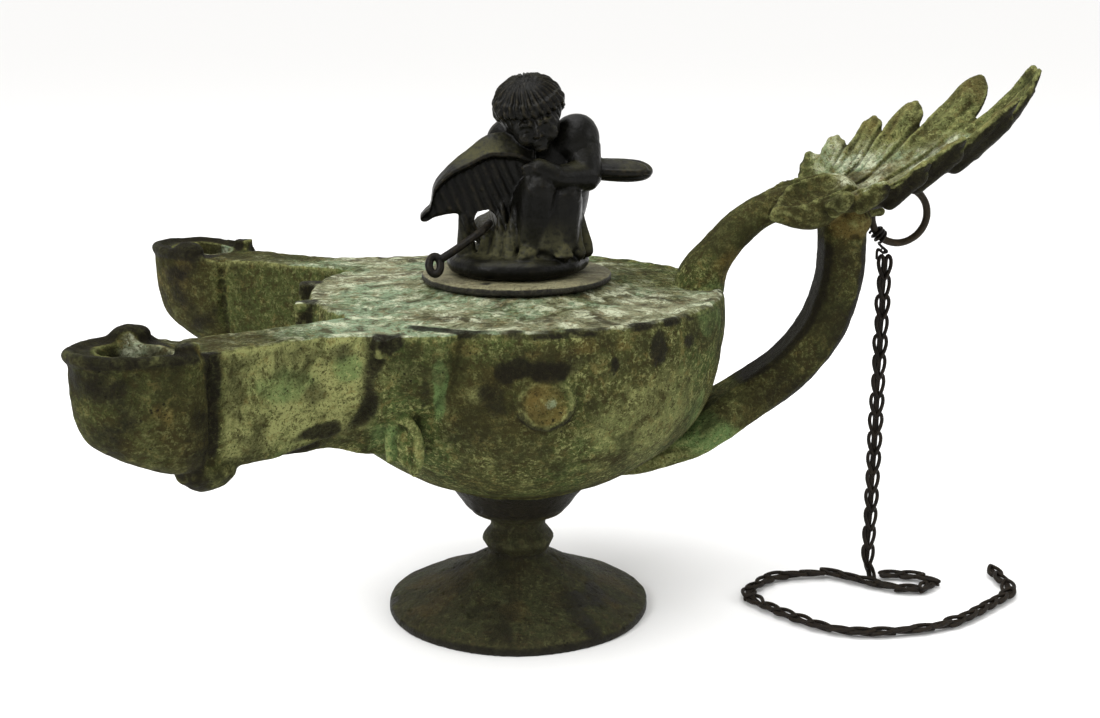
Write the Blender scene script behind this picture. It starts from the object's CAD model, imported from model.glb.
# Antique bronze oil lamp: two nozzles, loop handle with a palmette, chain, and a lift-off lid with a
# crouching winged child.
# Shapes are worked out in millimetres, in the CAD part's frame, and turned to metres when a mesh is made.
import itertools
import math

import bpy
import numpy as np
from mathutils import Matrix, Vector


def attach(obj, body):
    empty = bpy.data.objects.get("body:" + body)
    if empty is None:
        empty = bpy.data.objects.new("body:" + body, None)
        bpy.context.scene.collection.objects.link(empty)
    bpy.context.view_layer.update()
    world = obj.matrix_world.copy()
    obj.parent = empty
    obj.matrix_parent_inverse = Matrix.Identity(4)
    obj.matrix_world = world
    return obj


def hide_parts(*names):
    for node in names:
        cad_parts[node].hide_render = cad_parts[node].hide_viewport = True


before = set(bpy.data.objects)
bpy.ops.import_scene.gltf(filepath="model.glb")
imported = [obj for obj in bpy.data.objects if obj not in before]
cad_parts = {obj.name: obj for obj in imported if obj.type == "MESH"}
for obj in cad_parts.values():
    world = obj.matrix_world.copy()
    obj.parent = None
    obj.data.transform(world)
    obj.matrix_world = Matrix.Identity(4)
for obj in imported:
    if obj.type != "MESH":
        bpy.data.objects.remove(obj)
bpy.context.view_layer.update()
mm = 0.001
print("frame loaded:", sorted(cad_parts))


# Points and curves

def vec(x, y, z):
    return np.array([x, y, z], float)


def turnMatrix(x, y, z):
    turns = [Matrix.Rotation(math.radians(a), 3, axis) for a, axis in ((x, "X"), (y, "Y"), (z, "Z"))]
    return np.array(turns[0] @ turns[1] @ turns[2])


def ramp(value, low, high):
    share = np.clip((np.asarray(value, float) - low) / (high - low), 0, 1)
    return share * share * (3 - 2 * share)


def eased(pairs, x):  # smooth value between stations, without overshoot
    xs, ys = np.array(pairs, float).T
    step = np.diff(xs)
    slope = np.diff(ys) / step
    before, after = slope[:-1], slope[1:]
    same = before * after > 0
    middle = np.where(same, 2 * before * after / np.where(same, before + after, 1), 0)
    tangent = np.concatenate([slope[:1], middle, slope[-1:]])
    x = np.clip(np.asarray(x, float), xs[0], xs[-1])
    i = np.clip(np.searchsorted(xs, x, side="right") - 1, 0, len(step) - 1)
    t = (x - xs[i]) / step[i]
    rise = ys[i] * (1 + 2 * t) * (1 - t) ** 2 + ys[i + 1] * t * t * (3 - 2 * t)
    return rise + step[i] * (tangent[i] * t * (1 - t) ** 2 - tangent[i + 1] * t * t * (1 - t))


def through(points, count, closed=False):  # smooth curve through points
    p = np.array(points, float)
    if closed:
        p = np.concatenate([p[-1:], p, p[:2]])
    else:
        p = np.concatenate([2 * p[:1] - p[1:2], p, 2 * p[-1:] - p[-2:-1]])
    spans = len(p) - 3
    t = np.linspace(0, spans, count, endpoint=not closed)
    i = np.minimum(t.astype(int), spans - 1)
    f = (t - i)[:, None]
    a, b, c, d = p[i], p[i + 1], p[i + 2], p[i + 3]
    square, cube = 2 * a - 5 * b + 4 * c - d, 3 * b - a - 3 * c + d
    return 0.5 * (2 * b + (c - a) * f + square * f ** 2 + cube * f ** 3)


def cellNoise(points, size, seed):  # smooth noise from -1 to 1, with bumps about size apart
    turned = points @ turnMatrix(37 + 11 * seed, 23 + 7 * seed, 51).T
    p = turned / size + 31.7 * (seed + 1)
    cell = np.floor(p).astype(np.int64)
    f = p - cell
    f = f * f * (3 - 2 * f)
    total = np.zeros(len(points))
    for corner in itertools.product((0, 1), repeat=3):
        ix, iy, iz = (cell + corner).T
        h = (ix * 374761393 + iy * 668265263 + iz * 1440662683 + seed * 974634777) & 0xFFFFFFFF
        h = ((h ^ (h >> 13)) * 1274126177) & 0xFFFFFFFF
        weight = np.prod(np.where(corner, f, 1 - f), axis=1)
        total += weight * ((h ^ (h >> 16)) & 0xFFFF)
    return total / 32767.5 - 1


def layered(points, size, octaves, seed):
    return sum(cellNoise(points, size / 2 ** i, seed + i) / 2 ** i for i in range(octaves)) / 1.6


# Closed parts: each is (points, faces)

def outward(part):
    points, faces = part
    volume = 0.0
    for face in faces:
        p = points[list(face)]
        volume += np.sum(np.cross(p[1:-1] - p[0], p[2:] - p[0]) @ p[0])
    return (points, [tuple(reversed(f)) for f in faces]) if volume < 0 else part


def loft(rings, closed=False):
    count = len(rings[0])
    faces = []
    for i in range(len(rings) if closed else len(rings) - 1):
        a, b = i * count, ((i + 1) % len(rings)) * count
        faces += [(a + j, a + (j + 1) % count, b + (j + 1) % count, b + j) for j in range(count)]
    if not closed:
        last = (len(rings) - 1) * count
        faces += [tuple(reversed(range(count))), tuple(range(last, last + count))]
    return outward((np.concatenate(rings), faces))


def lathe(profile, sides, wobble=None):  # profile as (radius, height), its first and last rings closed flat
    turns = np.arange(sides) * 2 * math.pi / sides
    rings = []
    for r, z in profile:
        radius = r * (1 + (wobble(turns) if wobble else 0))
        rings.append(np.stack([radius * np.cos(turns), radius * np.sin(turns), np.full(sides, z)], 1))
    return loft(rings)


def ball(centre, radii, turn=(0, 0, 0), around=28, rows=16):
    turns = np.arange(around) * 2 * math.pi / around
    rings = []
    for tilt in np.linspace(0.03, math.pi - 0.03, rows):
        r = math.sin(tilt)
        ring = np.stack([r * np.cos(turns), r * np.sin(turns), np.full(around, math.cos(tilt))], 1)
        rings.append(ring * radii @ turnMatrix(*turn).T + centre)
    return loft(rings)


def block(centre, sides, turn=(0, 0, 0)):
    corners = np.array(list(itertools.product((-0.5, 0.5), repeat=3))) * sides @ turnMatrix(*turn).T + centre
    faces = [(0, 1, 3, 2), (4, 6, 7, 5), (0, 4, 5, 1), (2, 3, 7, 6), (0, 2, 6, 4), (1, 5, 7, 3)]
    return outward((corners, faces))


def tube(path, radius, sides=14, closed=False):
    path = np.array(path, float)
    radius = np.broadcast_to(radius, len(path))
    across = None
    rings = []
    turns = np.arange(sides) * 2 * math.pi / sides
    for i, centre in enumerate(path):
        if closed:
            along = path[(i + 1) % len(path)] - path[i - 1]
        else:
            along = path[min(i + 1, len(path) - 1)] - path[max(i - 1, 0)]
        along = along / np.linalg.norm(along)
        if across is None:
            across = vec(0, 1, 0) if abs(along[1]) < 0.8 else vec(1, 0, 0)
        across = across - along * (across @ along)
        across /= np.linalg.norm(across)
        up = np.cross(along, across)
        rings.append(centre + radius[i] * (np.outer(np.cos(turns), across) + np.outer(np.sin(turns), up)))
    return loft(rings, closed)


def limb(start, end, r0, r1, sides=18):
    start, end = np.array(start, float), np.array(end, float)
    axis = (end - start) / np.linalg.norm(end - start)
    tilts = np.radians([-88, -60, -30, 0])
    path = [start + axis * r0 * math.sin(a) for a in tilts]
    path += [end - axis * r1 * math.sin(a) for a in tilts[::-1]]
    radii = [r0 * math.cos(a) for a in tilts] + [r1 * math.cos(a) for a in tilts[::-1]]
    return tube(path, radii, sides)


def mirrored(part):
    return outward((part[0] * vec(1, -1, 1), part[1]))


# Blender objects

def meshObject(name, parts):
    points, faces, offset = [], [], 0
    for p, f in parts:
        points.append(p)
        faces += [tuple(i + offset for i in face) for face in f]
        offset += len(p)
    mesh = bpy.data.meshes.new(name)
    mesh.from_pydata((np.concatenate(points) * mm).tolist(), [], faces)
    mesh.update()
    obj = bpy.data.objects.new(name, mesh)
    bpy.context.scene.collection.objects.link(obj)
    return obj


def settled(obj):  # the evaluated mesh takes the place of the modifiers
    bpy.context.view_layer.update()
    made = bpy.data.meshes.new_from_object(obj.evaluated_get(bpy.context.evaluated_depsgraph_get()))
    obj.modifiers.clear()
    old, obj.data = obj.data, made
    bpy.data.meshes.remove(old)
    made.name = obj.name
    return obj


def cutAway(obj, tool):  # takes the tool's form out of the piece, and the tool away
    cut = obj.modifiers.new("cut", "BOOLEAN")
    cut.object = tool
    cut.operation = "DIFFERENCE"
    cut.solver = "MANIFOLD"
    settled(obj)
    bpy.data.meshes.remove(tool.data)
    return obj


def fused(obj, voxel):
    remesh = obj.modifiers.new("fuse", "REMESH")
    remesh.mode = "VOXEL"
    remesh.voxel_size = voxel * mm
    return settled(obj)


def readPoints(mesh):
    points = np.empty(len(mesh.vertices) * 3)
    mesh.vertices.foreach_get("co", points)
    normals = np.empty(len(mesh.vertices) * 3)
    mesh.vertices.foreach_get("normal", normals)
    return points.reshape(-1, 3) / mm, normals.reshape(-1, 3)


def writePoints(mesh, points):
    mesh.vertices.foreach_set("co", (points * mm).ravel())
    mesh.update()


def smoothed(mesh, values, rounds):  # each round takes the mean of a point and its neighbours
    edges = np.empty(len(mesh.edges) * 2, np.int64)
    mesh.edges.foreach_get("vertices", edges)
    a, b = edges.reshape(-1, 2).T
    count = len(mesh.vertices)
    ends, others = np.concatenate([a, b]), np.concatenate([b, a])
    share = np.maximum(np.bincount(ends, minlength=count), 1)
    columns = values.reshape(count, -1).copy()
    for _ in range(rounds):
        for k in range(columns.shape[1]):
            mean = np.bincount(ends, columns[others, k], count) / share
            columns[:, k] = 0.5 * (columns[:, k] + mean)
    return columns.reshape(values.shape)


def evened(mesh, rounds):
    writePoints(mesh, smoothed(mesh, readPoints(mesh)[0], rounds))
    return readPoints(mesh)


def pushed(mesh, points, normals, push):
    writePoints(mesh, points + normals * push[:, None])


def thinned(obj, triangles):
    faces = sum(len(p.vertices) - 2 for p in obj.data.polygons)
    if faces > triangles:
        collapse = obj.modifiers.new("thin", "DECIMATE")
        collapse.ratio = triangles / faces
        settled(obj)


def addAttribute(mesh, name, values):
    attribute = mesh.attributes.new(name, "FLOAT", "POINT")
    attribute.data.foreach_set("value", np.clip(values, 0, 1).astype(np.float32))


def deepen(shares, more):  # keeps the stronger of the two at every point
    np.maximum(shares, more, out=shares)


def paint(mesh, **shares):  # a share that isn't given is nothing all over
    for name in ("crust", "dark", "ochre", "mint", "brown", "pale"):
        addAttribute(mesh, name, shares.get(name, np.zeros(len(mesh.vertices))))


def addWear(mesh, reach):  # edges that stand out and hollows that lie in, from the shape itself
    points, normals = readPoints(mesh)
    lift = np.sum((points - smoothed(mesh, points, reach)) * normals, axis=1)
    lift = smoothed(mesh, lift, 2)
    scale = np.percentile(np.abs(lift), 92)
    addAttribute(mesh, "wear", ramp(lift / scale, 0.25, 1.3))
    addAttribute(mesh, "hollow", ramp(-lift / scale, 0.2, 1.2))
    return points, normals


def finished(obj, material, node):
    obj.data.materials.clear()
    obj.data.materials.append(material)
    obj.data.polygons.foreach_set("use_smooth", [True] * len(obj.data.polygons))
    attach(obj, "root")
    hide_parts(node)
    print("made", obj.name, len(obj.data.polygons), "faces")


# Materials: small helpers that add and join shader nodes

def newMaterial(name, roughness, gloss):
    material = bpy.data.materials.new(name)
    material.use_nodes = True
    tree = material.node_tree
    shader = tree.nodes["Principled BSDF"]
    shader.inputs["Roughness"].default_value = roughness
    shader.inputs["Specular IOR Level"].default_value = gloss
    place = tree.nodes.new("ShaderNodeTexCoord").outputs["Object"]
    return material, tree, shader, place


def feed(tree, socket, value):
    if hasattr(value, "is_linked"):
        tree.links.new(value, socket)
    elif hasattr(value, "__len__"):
        socket.default_value = tuple(value) + (1.0,) * (len(socket.default_value) - len(value))
    else:
        socket.default_value = value


def noiseFac(tree, place, size, detail, rough, warp=0.0):  # size in millimetres
    n = tree.nodes.new("ShaderNodeTexNoise")
    tree.links.new(place, n.inputs["Vector"])
    for name, number in (("Scale", 1 / (size * mm)), ("Detail", detail), ("Roughness", rough),
                         ("Distortion", warp)):
        n.inputs[name].default_value = number
    return n.outputs["Fac"]


def spots(tree, place, size):
    n = tree.nodes.new("ShaderNodeTexVoronoi")
    tree.links.new(place, n.inputs["Vector"])
    n.inputs["Scale"].default_value = 1 / (size * mm)
    return n.outputs["Distance"]


def span(tree, value, low, high, lowTo=0.0, highTo=1.0):
    n = tree.nodes.new("ShaderNodeMapRange")
    n.interpolation_type = "SMOOTHSTEP"
    feed(tree, n.inputs["Value"], value)
    for name, number in (("From Min", low), ("From Max", high), ("To Min", lowTo), ("To Max", highTo)):
        n.inputs[name].default_value = number
    return n.outputs["Result"]


def sums(tree, kind, a, b):
    n = tree.nodes.new("ShaderNodeMath")
    n.operation = kind
    feed(tree, n.inputs[0], a)
    feed(tree, n.inputs[1], b)
    return n.outputs[0]


def times(tree, a, b):
    return sums(tree, "MULTIPLY", a, b)


def blendColour(tree, fac, a, b):
    n = tree.nodes.new("ShaderNodeMix")
    n.data_type = "RGBA"
    feed(tree, n.inputs["Factor"], fac)
    feed(tree, n.inputs["A"], a)
    feed(tree, n.inputs["B"], b)
    return n.outputs["Result"]


def coated(tree, colour, coats):  # each coat is its share and its colour, laid one over another
    for share, over in coats:
        colour = blendColour(tree, share, colour, over)
    return colour


def stored(tree, name):
    n = tree.nodes.new("ShaderNodeAttribute")
    n.attribute_name = name
    return n.outputs["Fac"]


def raised(tree, shader, height, depth):  # depth in millimetres
    n = tree.nodes.new("ShaderNodeBump")
    n.inputs["Distance"].default_value = depth * mm
    tree.links.new(height, n.inputs["Height"])
    tree.links.new(n.outputs["Normal"], shader.inputs["Normal"])


# Each patina: linear colours, all multiplied by the tone, and how rough the surface is
greenPatina = {
    "tone": 0.62, "base": (0.074, 0.081, 0.025), "light": (0.42, 0.44, 0.165), "moss": (0.08, 0.12, 0.034),
    "brown": (0.052, 0.042, 0.014), "shade": (0.032, 0.031, 0.0115), "dark": (0.0125, 0.0105, 0.006),
    "sand": (0.23, 0.19, 0.062), "ochre": (0.185, 0.132, 0.037), "mint": (0.17, 0.27, 0.09),
    "crust": (0.36, 0.375, 0.225), "crustLight": (0.78, 0.83, 0.58), "crustMint": (0.31, 0.44, 0.27),
    "crustTan": (0.33, 0.27, 0.15), "crustDark": (0.085, 0.082, 0.05), "rust": (0.17, 0.115, 0.055),
    "roughness": 0.8, "gloss": 0.05,
}
footPatina = dict(greenPatina, base=(0.044, 0.042, 0.017), light=(0.11, 0.112, 0.045), moss=(0.048, 0.054, 0.02),
                  sand=(0.078, 0.062, 0.026), brown=(0.03, 0.023, 0.009), shade=(0.018, 0.0165, 0.007),
                  ochre=(0.095, 0.068, 0.024), mint=(0.08, 0.092, 0.042), tone=0.7, roughness=0.62, gloss=0.12)
lidBronze = dict(greenPatina, base=(0.2, 0.188, 0.108), light=(0.38, 0.36, 0.21), moss=(0.22, 0.206, 0.12),
                 sand=(0.25, 0.215, 0.115), brown=(0.085, 0.07, 0.036), shade=(0.07, 0.062, 0.034),
                 dark=(0.008, 0.0075, 0.0055), ochre=(0.28, 0.25, 0.14), tone=0.74, roughness=0.62, gloss=0.16)


# Noises of a patina, coarse to fine: size in millimetres, detail, roughness, distortion
patinaNoises = ((24, 5, 0.62, 0.8), (13, 6, 0.66, 0.6), (6, 8, 0.72, 0.5), (2.6, 6, 0.75, 0.4),
                (1.25, 5, 0.78, 0.3), (0.5, 3, 0.7, 0))


def broken(tree, name, coarse, fine):  # a painted patch with a soft edge that follows the noise
    painted = stored(tree, name)
    ragged = sums(tree, "ADD", coarse, times(tree, fine, 0.9))
    patch = span(tree, sums(tree, "ADD", painted, ragged), 1.08, 1.78)
    return times(tree, patch, span(tree, painted, 0.02, 0.5))


def patina(name, look):
    hue = {key: tuple(c * look["tone"] for c in value) for key, value in look.items() if isinstance(value, tuple)}
    material, tree, shader, place = newMaterial(name, look["roughness"], look["gloss"])
    broad, cloud, blotch, tint, speck, fleck = (noiseFac(tree, place, *noise) for noise in patinaNoises)
    brown, wear = stored(tree, "brown"), stored(tree, "wear")
    bright = times(tree, span(tree, speck, 0.5, 0.66), span(tree, cloud, 0.36, 0.6, 0.25))
    bright = times(tree, bright, span(tree, brown, 0.1, 0.8, 1, 0.3))
    colour = coated(tree, hue["base"], (
        (span(tree, broad, 0.4, 0.6), hue["moss"]),
        (span(tree, blotch, 0.5, 0.36, 0, 0.85), hue["brown"]),
        (span(tree, blotch, 0.53, 0.68, 0, 0.5), hue["light"]),
        (times(tree, stored(tree, "pale"), span(tree, blotch, 0.36, 0.54, 0.2)), hue["light"]),
        (span(tree, tint, 0.51, 0.65, 0, 0.75), hue["sand"]),
        (span(tree, tint, 0.48, 0.37, 0, 0.8), hue["brown"]),
        (times(tree, brown, span(tree, tint, 0.4, 0.64, 0.92, 0.4)), hue["brown"]),
        (broken(tree, "mint", blotch, speck), hue["mint"]),
        (times(tree, broken(tree, "ochre", blotch, speck), 0.8), hue["ochre"]),
        (span(tree, cloud, 0.52, 0.34, 0, 0.75), hue["shade"]),
        (bright, hue["light"]),
        (span(tree, fleck, 0.46, 0.36, 0, 0.85), hue["shade"]),
        (times(tree, wear, span(tree, speck, 0.4, 0.6, 0.1, 0.55)), hue["light"])))
    crust = coated(tree, hue["crustDark"], (
        (span(tree, cloud, 0.36, 0.54), hue["crust"]),
        (span(tree, broad, 0.48, 0.56, 0, 0.85), hue["crustMint"]),
        (span(tree, tint, 0.52, 0.62, 0, 0.75), hue["crustTan"]),
        (span(tree, blotch, 0.49, 0.62), hue["crustLight"]),
        (span(tree, blotch, 0.46, 0.37, 0, 0.9), hue["crustDark"]),
        (span(tree, speck, 0.46, 0.38, 0, 0.8), hue["rust"]),
        (span(tree, fleck, 0.45, 0.35, 0, 0.8), hue["crustDark"])))
    pits = times(tree, span(tree, spots(tree, place, 1.6), 0.24, 0.1), span(tree, blotch, 0.54, 0.62))
    soft = times(tree, broken(tree, "dark", cloud, blotch), span(tree, speck, 0.34, 0.6, 1, 0.9))
    shade = times(tree, stored(tree, "hollow"), 0.6)
    for more in (times(tree, soft, 0.99), times(tree, pits, 0.8), span(tree, speck, 0.37, 0.29, 0, 0.75)):
        shade = sums(tree, "MAXIMUM", shade, more)
    colour = coated(tree, colour, ((broken(tree, "crust", blotch, speck), crust), (shade, hue["dark"])))
    tree.links.new(colour, shader.inputs["Base Color"])
    gloss = span(tree, shade, 0.2, 0.9, look["roughness"], look["roughness"] - 0.22)
    tree.links.new(gloss, shader.inputs["Roughness"])
    height = sums(tree, "ADD", times(tree, speck, 0.7), times(tree, fleck, 0.3))
    height = sums(tree, "ADD", height, times(tree, blotch, 0.9))
    height = sums(tree, "SUBTRACT", height, times(tree, pits, 0.8))
    raised(tree, shader, height, 1.1)
    return material


def darkBronze(name, look):
    base = look["base"]
    material, tree, shader, place = newMaterial(name, look["roughness"], look["gloss"])
    blotch, speck = noiseFac(tree, place, 7, 5, 0.65, 0.4), noiseFac(tree, place, 1.2, 4, 0.65)
    lit = times(tree, stored(tree, "dust"), span(tree, speck, 0.32, 0.58, 0.25))
    colour = coated(tree, base, (
        (span(tree, blotch, 0.4, 0.65), tuple(c * 1.8 for c in base)),
        (times(tree, lit, look["dustShare"]), look["dust"]),
        (times(tree, stored(tree, "wear"), span(tree, speck, 0.4, 0.65, 0, 0.5)), look["ochre"]),
        (times(tree, stored(tree, "hollow"), 0.75), tuple(c * 0.4 for c in base))))
    tree.links.new(colour, shader.inputs["Base Color"])
    tree.links.new(span(tree, lit, 0, 0.8, look["roughness"], 0.85), shader.inputs["Roughness"])
    raised(tree, shader, speck, 0.2)
    return material


blackBronze = {"base": (0.0024, 0.0023, 0.0017), "dust": (0.075, 0.072, 0.034), "ochre": (0.03, 0.024, 0.012),
               "roughness": 0.3, "gloss": 0.1, "dustShare": 0.9}
blackWire = dict(blackBronze, base=(0.004, 0.0034, 0.0028), dust=(0.022, 0.018, 0.012), dustShare=0.5)
ringBronze = dict(blackBronze, base=(0.012, 0.0095, 0.0055), dust=(0.045, 0.034, 0.018),
                  ochre=(0.06, 0.036, 0.015))
chainBronze = dict(blackWire, base=(0.0055, 0.0042, 0.0032), ochre=(0.035, 0.024, 0.013), roughness=0.42)
greenSkin = patina("green patina", greenPatina)
footSkin = patina("foot patina", footPatina)
lidSkin = patina("lid bronze", lidBronze)
figureSkin = darkBronze("black bronze", blackBronze)
wireSkin = darkBronze("black wire", blackWire)
ringSkin = darkBronze("ring bronze", ringBronze)
chainSkin = darkBronze("chain bronze", chainBronze)
print("materials made")


# Bowl, foot, lid and nozzles: the sizes of the CAD part
lamp = {
    "footRadius": 36, "footHeight": 37.5, "footRim": 3, "stemRadius": 8, "cupRadius": 20, "bowlFootRadius": 22,
    "bowlRadius": 55.6, "deckHeight": 90, "deckRise": 1.8, "wall": 3, "fillerRadius": 17, "lidRadius": 25.2,
    "lidThickness": 2.2, "fitGap": 0.3, "voxel": 0.62, "triangles": 195000, "footVoxel": 0.55,
    "footTriangles": 90000, "lidVoxel": 0.4, "lidTriangles": 80000,
}
deck = lamp["deckHeight"]
bowlRadius = lamp["bowlRadius"]
bowlBase = lamp["footHeight"] + lamp["fitGap"]
bowlHeight = deck - bowlBase
bowlShape = [(0.075, 0.54), (0.168, 0.68), (0.28, 0.81), (0.4, 0.9), (0.54, 0.953), (0.7, 0.982), (0.88, 1),
             (0.96, 0.997)]


def deckAt(r):
    return deck + lamp["deckRise"] * float(ramp(bowlRadius - r, 0, bowlRadius * 0.75))


seatHeight = deckAt(0) + 0.6


def bowlSolid():
    side = [(float(eased(bowlShape, h)) * bowlRadius, bowlBase + h * bowlHeight)
            for h in np.linspace(0.075, 0.96, 36)]
    top = [(bowlRadius * 0.988, deck - 0.4), (bowlRadius * 0.975, deck + 0.35), (bowlRadius * 0.955, deck + 0.5),
           (bowlRadius * 0.93, deck)]
    plate = [(r, deckAt(r)) for r in np.linspace(bowlRadius * 0.88, lamp["lidRadius"] + 2.5, 10)]
    seat = lamp["lidRadius"] - 1.6
    foot = [(lamp["bowlFootRadius"] - 0.6, bowlBase), (lamp["bowlFootRadius"], bowlBase + 0.9)]
    return lathe(foot + side + top + plate + [(seat, seatHeight)], 200)


def reservoirSolid():
    wall = lamp["wall"]
    side = [(r * bowlRadius - wall * (0.4 + 0.6 * r), bowlBase + h * bowlHeight + wall * (1.15 - r))
            for h, r in bowlShape]
    ceiling = deck - wall
    filler = lamp["fillerRadius"]
    top = [(bowlRadius - wall * 1.5, ceiling), (filler, ceiling + lamp["deckRise"] * 0.9),
           (filler, seatHeight + wall)]
    return lathe([(lamp["cupRadius"] * 0.9, bowlBase + wall)] + side + top, 90)


nozzle = {
    "angle": 31, "offset": 11.7, "reach": 127, "cupHalf": 13.2, "neckHalf": 8.9, "depth": 29.4, "wickRadius": 8,
    "channelWall": 3.2, "channelRoot": 8.8,
}
turn = math.radians(nozzle["angle"])
nozzleAlong = vec(-math.cos(turn), -math.sin(turn), 0)
nozzleAcross = vec(math.sin(turn), -math.cos(turn), 0)
neckEnd = nozzle["reach"] - 30
neckStart = bowlRadius + 6
rimTop = deck + 1.6
nozzleBottom = deck - nozzle["depth"]
cupHalf, neckHalf = nozzle["cupHalf"], nozzle["neckHalf"]
cupStations = [(neckEnd - 6, neckHalf * 0.99), (neckEnd - 1, neckHalf * 1.06), (neckEnd + 1.5, neckHalf * 1.02),
               (neckEnd + 3.5, cupHalf * 0.86), (neckEnd + 9, cupHalf), (neckEnd + 16, cupHalf),
               (neckEnd + 22, cupHalf * 0.86), (neckEnd + 26.5, cupHalf * 0.6), (neckEnd + 29, cupHalf * 0.36),
               (nozzle["reach"], cupHalf * 0.14)]
rootStations = [bowlRadius * share for share in (0.62, 0.82, 0.94, 1.04, 1.15, 1.3)]
outerStations = [(s, neckHalf * w) for s, w in zip(rootStations, (2.5, 2.8, 2.4, 1.9, 1.38, 1))] + cupStations
innerStations = [(rootStations[0], neckHalf * 1.4), (rootStations[3], neckHalf * 0.78),
                 (rootStations[5], neckHalf * 0.8)] + cupStations
floorStations = [(s, nozzleBottom + rise) for s, rise in (
    (rootStations[0], -6), (rootStations[1], -5.4), (bowlRadius, -4), (neckStart, -1.6), (neckStart + 6, -0.2),
    (neckStart + 14, 0), (neckEnd - 10, 0), (neckEnd + 9, 1.4), (neckEnd + 16, 4), (neckEnd + 22, 7),
    (neckEnd + 26.5, 10.4), (neckEnd + 29, 15), (nozzle["reach"], 20))]
wickPlace = neckEnd + 15.5


def onNozzle(s, t, z):
    return vec(0, 0, z) + s * nozzleAlong + (nozzle["offset"] + t) * nozzleAcross


def nozzleTop(s):
    return deck + (rimTop - deck) * float(ramp(s - neckEnd, 0, 24))


def nozzleSection(s, sides):
    top = nozzleTop(s)
    depth = top - float(eased(floorStations, s))
    outerHalf, innerHalf = float(eased(outerStations, s)), float(eased(innerStations, s))
    outerTaper = float(eased([(bowlRadius * 0.98, 3), (rootStations[5], 0.62)], s))
    points = []
    for a in np.linspace(0, math.pi, sides + 1):
        half, taper = (outerHalf, outerTaper) if math.cos(a) > 0 else (innerHalf, 0.62)
        t = half * math.copysign(abs(math.cos(a)) ** taper, math.cos(a))
        points.append(onNozzle(s, t, top - depth * abs(math.sin(a)) ** 0.78))
    return np.array(points)


def onBowl(degrees, z, out=0.0):
    r = bowlRadius * float(eased(bowlShape, (z - bowlBase) / bowlHeight)) + out
    a = math.radians(degrees)
    return vec(-r * math.cos(a), -r * math.sin(a), z)


scrollTurn, ribTurn = 56.5, 67.5  # degrees round the bowl
medallionX, medallionZ = 2.5, deck - 17


def nozzleSolids():
    stations = np.concatenate([np.linspace(rootStations[0], neckEnd + 9, 60),
                               np.linspace(neckEnd + 10, nozzle["reach"], 26)])
    parts = [loft([nozzleSection(s, 48) for s in stations])]
    tilt = (0, 0, nozzle["angle"])
    parts.append(ball(onNozzle(neckEnd, 0, nozzleBottom + 0.6), (7.4, 6.6, 5.3), tilt))
    parts.append(block(onNozzle(neckEnd + 7, cupHalf * 0.72, rimTop), (5.2, 3.6, 3), tilt))
    parts.append(ball(onNozzle(neckEnd + 12, -cupHalf * 0.82, rimTop + 0.2), (5.2, 3.2, 3), tilt))
    lip = [(s, float(eased(cupStations, s)) - 0.9) for s in np.linspace(neckEnd + 6, nozzle["reach"] - 0.6, 14)]
    path = [onNozzle(s, w, nozzleTop(s) - 0.4) for s, w in lip]
    path += [onNozzle(s, -w, nozzleTop(s) - 0.4) for s, w in reversed(lip)]
    parts.append(tube(through(path, 90), 1.5, 12))
    middle = onBowl(scrollTurn, deck - 29.5, 3.0)
    parts.append(ball(middle, (4.0, 3.2, 6.4), (0, 0, scrollTurn)))
    a = math.radians(scrollTurn)
    side, out = vec(math.sin(a), -math.cos(a), 0), vec(-math.cos(a), -math.sin(a), 0)
    curl = [middle + out * 2.6 + side * 4.4 * math.cos(b) + vec(0, 0, 7.2) * math.sin(b)
            for b in np.radians(np.linspace(-60, 215, 12))]
    parts.append(tube(through(curl, 50), np.linspace(1.5, 1.1, 50), 12))
    parts.append(limb(onBowl(ribTurn, deck - 22.5, -1.1), onBowl(ribTurn, deck - 3, -1.1), 2.2, 2.4))
    end = float(eased(outerStations, rootStations[3]))
    parts.append(block(onNozzle(rootStations[3], end - 1.6, deck - 2.8), (5.4, 4.6, 5), tilt))
    return parts


def channelSolids():
    wall = nozzle["channelWall"]
    rings = []
    for s in np.linspace(bowlRadius * 0.7, neckEnd + 20, 30):
        low, top = float(eased(floorStations, s)) + wall, deck - 3
        ring = []
        for a in (np.arange(24) + 0.5) / 24 * 2 * math.pi:
            half = float(eased(outerStations if math.cos(a) > 0 else innerStations, s))
            root = nozzle["channelRoot"]
            widest = root + (cupHalf - root) * float(ramp(s, neckStart, neckStart + 8))
            half = min(half, widest) - wall
            ring.append(onNozzle(s, half * math.cos(a), (top + low) / 2 + (top - low) / 2 * math.sin(a)))
        rings.append(np.array(ring))
    hole = [onNozzle(wickPlace, 0.6, z)
            for z in (deck - nozzle["depth"] * 0.5, deck - 4, rimTop - 1, rimTop + 3)]
    radius = nozzle["wickRadius"]
    return [loft(rings), tube(hole, (radius, radius, radius + 0.2, radius + 1.2), 48)]


def nearLine(points, path, reach):  # share from 1 on the line to 0 at reach from it
    path = np.array(path, float)
    result = np.zeros(len(points))
    low, high = path.min(0) - reach, path.max(0) + reach
    inside = np.flatnonzero(np.all((points > low) & (points < high), axis=1))
    for start in range(0, len(inside), 20000):
        part = inside[start:start + 20000]
        gap = np.sqrt(((points[part, None, :] - path[None]) ** 2).sum(2)).min(1)
        result[part] = 1 - ramp(gap, 0, reach)
    return result


def nearSpot(points, centre, radii, seed=3, ragged=0.6):  # soft ragged patch round a place
    gap = np.sqrt((((points - centre) / radii) ** 2).sum(1))
    inside = gap < 2
    gap = gap.copy()
    gap[inside] += ragged * layered(points[inside], max(radii) * 0.55, 3, seed)
    return 1 - ramp(gap, 0.45, 1.3)


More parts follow.
